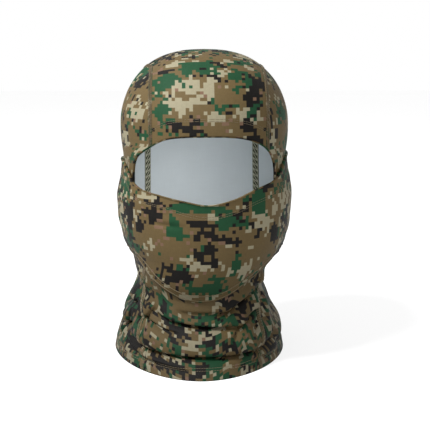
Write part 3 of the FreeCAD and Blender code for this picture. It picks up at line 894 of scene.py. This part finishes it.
def plain(name, colour, roughness=0.75, spread=0.12, streak=0.05, bump=0.3, sheen=0.04):
    """Unprinted knit, tape or thread: one colour with fine streaks along the grain."""
    material, nodes, shader, uv = cloth_material(name, roughness, sheen, 0.15)
    up = nodes.noise(nodes.vector("MULTIPLY", uv, (1200.0, 60.0, 1.0)), 1.0, 2.0)
    over = nodes.noise(nodes.vector("MULTIPLY", uv, (50.0, 1100.0, 1.0)), 1.0, 2.0)
    broad = nodes.noise(nodes.vector("SCALE", uv, 60.0), 1.0, 2.0)
    tint = nodes.math("MULTIPLY_ADD", broad, spread, 1 - spread)
    tint = nodes.math("MULTIPLY_ADD", up, streak * 2, tint)
    tint = nodes.math("MULTIPLY_ADD", over, streak * 2, tint)
    dark = tuple(c * 0.6 for c in colour)
    light = tuple(min(c * 1.12, 1.0) for c in colour)
    level = nodes.math("MULTIPLY_ADD", tint, 1.0, -0.25)
    nodes.put(shader.inputs["Base Color"], nodes.mix(level, dark, light))
    nodes.put(shader.inputs["Normal"], knit_bump(nodes, uv, bump))
    return material


# Each print's last pair is the span over which painted shade darkens it: the neck, the lower face and
# the back of the neck.
camo_crown = camo("camo_crown", 1.0, CROWN_PRINT, (0, 14, 90, 54), (430.0, 475.0))
camo_left = camo("camo_left_side", 2.3, LEFT_PRINT, (-48, 218, 50, 42), (110.0, 70.0))
camo_right = camo("camo_right_side", 3.9, RIGHT_PRINT, (48, 218, 50, 42), (110.0, 70.0))
camo_neck = camo("camo_neck", 5.2, shade_span=(300.0, 200.0))
camo_face = camo("camo_face", 6.4, FACE_PRINT, (0, 10, 74, 90), (20.0, -60.0))
camo_hem = camo("camo_hem", 7.7)
unprinted = plain("unprinted_knit", UNPRINTED)
brown_thread = plain("brown_flatlock_thread", (0.048, 0.035, 0.018), 0.7, 0.3, 0.1, 0.2)
tan_thread = plain("tan_needle_thread", (0.060, 0.046, 0.025), 0.6, 0.2, 0.1, 0.2)
pale_thread = plain("pale_loop_thread", (0.50, 0.49, 0.37), 0.6, 0.2, 0.1, 0.2)
olive_thread = plain("olive_inner_thread", (0.050, 0.052, 0.032), 0.7, 0.3, 0.1, 0.2)
elastic_white = plain("elastic_tape", (0.55, 0.55, 0.52), 0.6, 0.2, 0.2, 0.4)


# ---- the pieces ----
def finished(piece, node):
    """The piece, standing for its CAD node: hood pieces ride on the hood's body, face pieces stay
    unattached with their transform baked.
    """
    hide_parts(node)
    if node.startswith("face_"):
        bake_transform(piece)
    else:
        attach(piece, "hood")
    return piece


def add_cloth(name, grid, uv, material):
    """One layer of cloth, printed outside and plain inside."""
    return add_mesh(name + "_cloth", sheet_mesh(grid, offset(grid, -CLOTH), uv), [material, unprinted])


def hood_centre_panel():
    edge = SEAM_X - SEAM_GAP
    xs = np.linspace(-edge, edge, CROWN_COLUMNS)
    grid, lengths = crown_grid(xs, 0, 0, CROWN_ROWS)
    grid = folded(grid)
    longest = lengths[CROWN_COLUMNS // 2, -1]
    spread = smooth((lengths - CROWN_EVEN_FROM) / (CROWN_EVEN_TO - CROWN_EVEN_FROM))
    lengths = lengths + (longest - lengths[:, -1:]) * spread
    uv = np.stack([np.repeat(xs[:, None], CROWN_ROWS, 1), lengths], -1)
    return add_cloth("hood_centre_panel", grid, uv, camo_crown)


def side_heights():
    """Rows from the hem to the crown seam, closer in the folded neck."""
    places = np.linspace(place_of_height(HOOD, EYE_TOP_Z), len(HOOD) - 1, TABLE_STEPS)
    crest_place = np.interp(-(SEAM_X + 2 * SEAM_GAP), -row_at(HOOD, places)[:, 1], places)
    first = place_of_height(HOOD, NECK_ROWS_TOP)
    upper = row_at(HOOD, np.linspace(first, crest_place, SIDE_ROWS))[:, 0]
    return np.concatenate([np.linspace(0, NECK_ROWS_TOP, NECK_ROWS + 1)[:-1], upper])


def hood_side_panel(name, sign, material):
    heights = side_heights()
    front = seam_angle(heights, opening_half_width(heights, sign) + SEAM_GAP, -1)
    back = seam_angle(heights, SEAM_X + SEAM_GAP, 1)
    share = np.linspace(0, 1, SIDE_COLUMNS)[:, None]
    degrees = front[None] + (back - front)[None] * share
    places = place_of_height(HOOD, heights)
    base = round_point(HOOD, degrees * sign, np.repeat(places[None], len(share), 0))
    grid = folded(base)
    middle = len(share) // 2
    uv = grain(base, middle, 0)
    uv[..., 0] *= sign
    uv[..., 1] = uv[middle, :, 1][None]
    return add_cloth(name, grid, uv, material)


def neck_grid(xs, start, rise, count):
    top = outline_height(JAW, xs) + rise
    heights = start + (top - start)[:, None] * np.linspace(0, 1, count)[None]
    x = np.repeat(xs[:, None], count, 1)
    return folded(depth_point(HOOD, x, place_of_height(HOOD, heights), -1))


def neck_front_panel():
    edge = SEAM_X - SEAM_GAP
    xs = np.linspace(-edge, edge, BIB_COLUMNS)
    grid = neck_grid(xs, 0, SEAM_TUCK, BIB_ROWS)
    uv = grain(grid, BIB_COLUMNS // 2, BIB_GRAIN_ROW)
    return add_cloth("neck_front_panel", grid, uv, camo_neck)


def face_places(degrees, outline, rise):
    """The places in FACE where the columns at these angles meet an outline moved up by rise."""
    places = np.linspace(0, len(FACE) - 1, TABLE_STEPS // 4)
    found = []
    for angle in degrees:
        points = round_point(FACE, np.full_like(places, angle), places)
        above = points[:, 2] - outline_height(outline, points[:, 0]) - rise
        found.append(np.interp(0, above, places))
    return np.array(found)


def face_grid(bottom, top, rear, columns, rows):
    """Points of the face panel's surface between two edges, with their cloth coordinates."""
    degrees = np.linspace(rear[0], rear[1], columns)
    low = face_places(degrees, *bottom)
    high = face_places(degrees, *top)
    places = low[:, None] + (high - low)[:, None] * np.linspace(0, 1, rows)[None]
    angles = np.repeat(degrees[:, None], rows, 1)
    grid = round_point(FACE, angles, places)
    table_places = np.linspace(0, len(FACE) - 1, RULER_ROWS)
    around = np.linspace(-FACE_REAR, FACE_REAR, RULER_COLUMNS)
    ruler = round_point(FACE, np.repeat(around[:, None], RULER_ROWS, 1),
                        np.repeat(table_places[None], RULER_COLUMNS, 0))
    middle = RULER_COLUMNS // 2
    across = run_lengths(ruler, 0, middle)
    up = run_lengths(ruler, 1, 0)[middle]
    u = np.empty_like(places)
    for i, angle in enumerate(degrees):
        column = np.array([np.interp(angle, around, across[:, k]) for k in range(RULER_ROWS)])
        u[i] = np.interp(places[i], table_places, column)
    level_place = float(place_of_height(FACE, GRAIN_LEVEL))
    v = np.interp(places, table_places, up) - np.interp(level_place, table_places, up)
    return creased(sewn_down(grid, angles)), np.stack([u, v], -1)


def sewn_down(grid, degrees):
    """The face panel's rear edges drawn in to the hood, where they are sewn on."""
    heights = grid[..., 2]
    hood = row_at(HOOD, place_of_height(HOOD, heights))[..., 1] + REAR_STAND
    own = row_at(FACE, place_of_height(FACE, heights))[..., 1]
    drawn = smooth((np.abs(degrees) - REAR_BEND) / (FACE_REAR - REAR_BEND))
    grid = np.array(grid)
    grid[..., 0] *= 1 - drawn * np.maximum(1 - hood / own, 0)
    return grid


def face_panel():
    rears = (-FACE_REAR, FACE_REAR)
    grid, uv = face_grid((JAW, 0), (FACE_TOP, 0), rears, FACE_COLUMNS, FACE_ROWS)
    return add_cloth("face_panel", grid, uv, camo_face)


def face_hem_grid(low, high, rows):
    """Points of the face panel between two distances below its upper edge."""
    rears = (-HEM_REAR, HEM_REAR)
    return face_grid((FACE_TOP, low), (FACE_TOP, high), rears, HEM_COLUMNS, rows)


def face_hem():
    grid, uv = face_hem_grid(-FACE_HEM, 0, 12)
    return hem_mesh("face_hem_cloth", grid, ELASTIC + PLY, uv, camo_face)


def hem_mesh(name, grid, gap, uv, material):
    """The turned layer inside a panel's edge and the fold that wraps the edge, last row out."""
    normals = grid_normals(grid)
    rise = grid[:, -1] - grid[:, -2]
    rise /= np.linalg.norm(rise, axis=-1, keepdims=True)
    near = grid - normals * (CLOTH + gap)
    far = grid - normals * (2 * CLOTH + gap)
    edge = grid[:, -1]
    out = normals[:, -1]
    inner_radius = (CLOTH + gap) / 2
    outer_radius = inner_radius + CLOTH
    middle = edge - out * inner_radius
    turn = np.linspace(-math.pi / 2, math.pi / 2, TURN_STEPS + 1)[1:]
    fold_near = [middle + inner_radius * (math.sin(a) * out + math.cos(a) * rise) for a in turn]
    fold_far = [middle + outer_radius * (math.sin(a) * out + TURN_FLAT * math.cos(a) * rise)
                for a in turn]
    outer = np.concatenate([far, np.stack(fold_far, 1)], 1)
    inner = np.concatenate([near, np.stack(fold_near, 1)], 1)
    last = uv[:, -1:]
    climb = np.arange(1, TURN_STEPS + 1)[None, :, None] * np.array([0, TURN_RISE])
    turned_uv = np.concatenate([uv, last + climb], 1)
    return add_mesh(name, sheet_mesh(outer, inner, turned_uv), [material, unprinted])


def eye_opening_hem():
    grid = opening_grid(np.linspace(-1, 1, EYE_COLUMNS), np.linspace(1, 0, 13))
    uv = grain(grid, EYE_COLUMNS // 2, 0)
    return hem_mesh("eye_opening_hem_cloth", grid, PLY, uv, camo_hem)


def ring_arcs(clear):
    """The angles that each panel takes up round the hem, this far clear of the seams."""
    front_in, front_out, back_in, back_out = (
        float(seam_angle(BOTTOM_HEM, SEAM_X + way * clear, side))
        for side in (-1, 1) for way in (-1, 1))
    return [(-front_in, front_in), (front_out, back_out), (back_in, 360 - back_in),
            (-back_out, -front_out)]


def ring_grid(arc, heights):
    degrees = np.linspace(*arc, RING_COLUMNS)
    places = place_of_height(HOOD, heights)
    return folded(round_point(HOOD, np.repeat(degrees[:, None], len(heights), 1),
                              np.repeat(places[None], len(degrees), 0)))


def bottom_hem():
    """The turned layer inside the hem of each of the four panels."""
    rings = []
    for arc in ring_arcs(SEAM_GAP):
        grid = ring_grid(arc, np.linspace(PLY, BOTTOM_HEM, 11))
        normals = grid_normals(grid)
        near = grid - normals * (CLOTH + 2 * TOUCH)
        far = grid - normals * (2 * CLOTH + 2 * TOUCH)
        rings.append(sheet_mesh(near, far, grain(grid, RING_COLUMNS // 2, 0), 0))
    return add_mesh("bottom_hem_cloth", joined(*rings), [camo_hem, unprinted])


def bottom_hem_stitching():
    rows = []
    for arc in ring_arcs(FLATLOCK_WIDTH / 2 + 1):
        grid = ring_grid(arc, np.linspace(BOTTOM_HEM - 2.6, BOTTOM_HEM, 5))
        rows += stitched(grid, (0.1, 0.9), **HEM_ROWS)
    return add_mesh("bottom_hem_stitch_rows", joined(*rows), [tan_thread])


def eye_hem_stitching():
    rows = []
    for low, high in ((-0.88, -0.48), (-0.3, 0.3), (0.48, 0.88)):
        grid = opening_grid(np.linspace(low, high, 120), np.linspace(0.86, 1, 4))
        rows += stitched(grid, (0.1, 0.95), **HEM_ROWS)
    return add_mesh("eye_hem_stitch_rows", joined(*rows), [tan_thread])


def face_hem_stitching():
    grid, _ = face_hem_grid(-FACE_HEM, 2.2 - FACE_HEM, 4)
    rows = stitched(grid, (0.05, 0.95), **HEM_ROWS)
    return add_mesh("face_hem_stitch_rows", joined(*rows), [tan_thread])


def face_hem_elastic():
    grid, uv = face_hem_grid(2.0 - FACE_HEM, -2.0, 9)
    normals = grid_normals(grid)
    ribs = 0.06 * np.cos(np.arange(9) * math.pi)[None, :, None]
    near = grid - normals * (CLOTH + PLY / 2 + TOUCH + ribs)
    far = grid - normals * (CLOTH + PLY / 2 + ELASTIC - TOUCH - ribs)
    return add_mesh("face_hem_elastic_tape", sheet_mesh(near, far, uv, 0), [elastic_white])


def seam_xs(sign, width=FLATLOCK_WIDTH):
    return sign * np.linspace(SEAM_X - width / 2, SEAM_X + width / 2, SEAM_COLUMNS)


def flatlock(grid, inner_grid):
    """A seam's outer and inner faces: a bed of thread, needle rows and a crossing cover thread."""
    outer_rows = stitched(grid, (0.22, 0.78), **OUTER_ROWS)
    outer_cover = laddered(grid, 0.10, 0.90, **OUTER_COVER)
    inside = offset(inner_grid, -CLOTH)
    inner_bed = band(inside, 0.4, sign=-1, slot=3)
    inner_cover = laddered(inside, 0.14, 0.86, **INNER_COVER)
    inner_rows = stitched(inside, (0.12, 0.88), **INNER_ROWS)
    outer_bed = band(grid, 0.22, slot=4)
    return joined(outer_bed, outer_cover, *outer_rows, inner_bed, inner_cover, *inner_rows)


SEAM_THREADS = [brown_thread, tan_thread, pale_thread, olive_thread, camo_hem]


def crown_seam(name, sign):
    outer, _ = crown_grid(seam_xs(sign, OUTER_WIDTH), 0.5, 0.3, 380)
    inner, _ = crown_grid(seam_xs(sign, INNER_WIDTH), EYE_HEM + 1, BOTTOM_HEM + 1, 360)
    mesh = flatlock(folded(outer).transpose(1, 0, 2), folded(inner).transpose(1, 0, 2))
    return add_mesh(name + "_thread", mesh, SEAM_THREADS)


def neck_seam(name, sign):
    outer = neck_grid(seam_xs(sign, OUTER_WIDTH), 0.3, 2.5, 90)
    inner = neck_grid(seam_xs(sign), BOTTOM_HEM + 1, -EYE_HEM_SIDE, 80)
    mesh = flatlock(outer.transpose(1, 0, 2), inner.transpose(1, 0, 2))
    return add_mesh(name + "_thread", mesh, SEAM_THREADS)


def turned_cloth(grid, thickness, uv):
    """The cloth turned under a seam, just inside the panel."""
    normals = grid_normals(grid)
    inner = grid - normals * (CLOTH + thickness)
    return sheet_mesh(grid - normals * (CLOTH + TOUCH), inner, uv, 0)


def chin_seam():
    """Two rows of cover stitch above the jaw edge, and the turned cloth under it."""
    rears = (-REAR_STITCH + 1, REAR_STITCH - 1)
    rows_grid, _ = face_grid((JAW, 0.6), (JAW, CHIN_STITCH), rears, FACE_COLUMNS, 9)
    rows = stitched(rows_grid, (0.12, 0.9), **CHIN_ROWS)
    edge_grid, uv = face_grid((JAW, 0), (JAW, 2.0), rears, FACE_COLUMNS, 5)
    turned = turned_cloth(edge_grid, 0.5, uv)
    return add_mesh("chin_seam_stitch_rows", joined(turned, *rows), [camo_face, tan_thread])


def face_side_seam(name, sign):
    """The stitched rear edge of the face panel, behind the ear."""
    rears = sorted((sign * REAR_STITCH, sign * FACE_REAR))
    grid, uv = face_grid((JAW, 0.5), (FACE_TOP, -0.5), rears, SEAM_COLUMNS, 90)
    strip = grid.transpose(1, 0, 2)
    rows = stitched(strip, (0.2, 0.8), **REAR_ROWS)
    cover = laddered(strip, 0.15, 0.85, **REAR_COVER)
    turned = turned_cloth(grid, CLOTH + 0.9, uv)
    bed = band(strip, 0.3, slot=4)
    return add_mesh(name + "_thread", joined(bed, cover, *rows, turned), SEAM_THREADS)


centre = finished(hood_centre_panel(), "hood_centre_panel")
left = finished(hood_side_panel("hood_left_panel", 1, camo_left), "hood_left_panel")
right = finished(hood_side_panel("hood_right_panel", -1, camo_right), "hood_right_panel")
bib = finished(neck_front_panel(), "neck_front_panel")
mask = finished(face_panel(), "face_panel")
mask_hem = finished(face_hem(), "face_hem")
finished(face_hem_elastic(), "face_hem_elastic")
finished(face_hem_stitching(), "face_hem_stitching")
eye_hem = finished(eye_opening_hem(), "eye_opening_hem")
finished(eye_hem_stitching(), "eye_hem_stitching")
foot_hem = finished(bottom_hem(), "bottom_hem")
finished(bottom_hem_stitching(), "bottom_hem_stitching")
finished(chin_seam(), "chin_seam")
for side, sign in (("left", 1), ("right", -1)):
    for kind, make in (("crown", crown_seam), ("neck", neck_seam), ("face", face_side_seam)):
        seam_name = side + "_" + kind + "_seam"
        finished(make(seam_name, sign), seam_name)


# ---- floor, light and camera ----
def floor():
    material = bpy.data.materials.new("floor_white")
    material.use_nodes = True
    shader = material.node_tree.nodes["Principled BSDF"]
    fill(shader, {"Base Color": (FLOOR_TONE, FLOOR_TONE, FLOOR_TONE, 1.0), "Roughness": 0.9,
                  "Emission Color": WHITE, "Emission Strength": FLOOR_GLOW,
                  "Specular IOR Level": 0.1})
    data = bpy.data.meshes.new("floor")
    corners = [(x * FLOOR_SIZE, y * FLOOR_SIZE, 0) for x, y in ((-1, -1), (1, -1), (1, 1), (-1, 1))]
    data.from_pydata(corners, [], [(0, 1, 2, 3)])
    data.materials.append(material)
    placed("floor", data)


def area_light(name, place, target, size, power):
    data = bpy.data.lights.new(name, "AREA")
    data.shape = "DISK"
    data.size = size
    data.energy = power
    made = placed(name, data)
    made.location = place
    aim = np.array(target) - np.array(place)
    made.rotation_euler = (math.atan2(math.hypot(aim[0], aim[1]), -aim[2]), 0,
                           math.atan2(-aim[0], aim[1]))


def world():
    made = bpy.data.worlds.new("studio")
    made.use_nodes = True
    fill(made.node_tree.nodes["Background"], {"Color": WHITE, "Strength": 1.0})
    bpy.context.scene.world = made


def camera():
    data = bpy.data.cameras.new("camera")
    data.sensor_width = CAMERA_SENSOR
    data.lens = CAMERA_LENS
    data.shift_x = CAMERA_SHIFT
    made = placed("camera", data)
    turn = math.radians(CAMERA_TURN)
    ear_line = EAR_LINE_Y * MM
    made.location = (CAMERA_DISTANCE * math.sin(turn), ear_line - CAMERA_DISTANCE * math.cos(turn),
                     CAMERA_HEIGHT)
    made.rotation_euler = (math.radians(90 - CAMERA_PITCH), 0.0, turn)
    bpy.context.scene.camera = made


floor()
area_light("key", (-1.14, -0.60, 1.68), (0, 0, 0.15), 0.6, 118.0)
area_light("front", (0.28, -1.7, 0.46), (0, 0, 0.16), 1.0, 20.0)
world()
camera()
bpy.context.scene.view_settings.view_transform = "Standard"
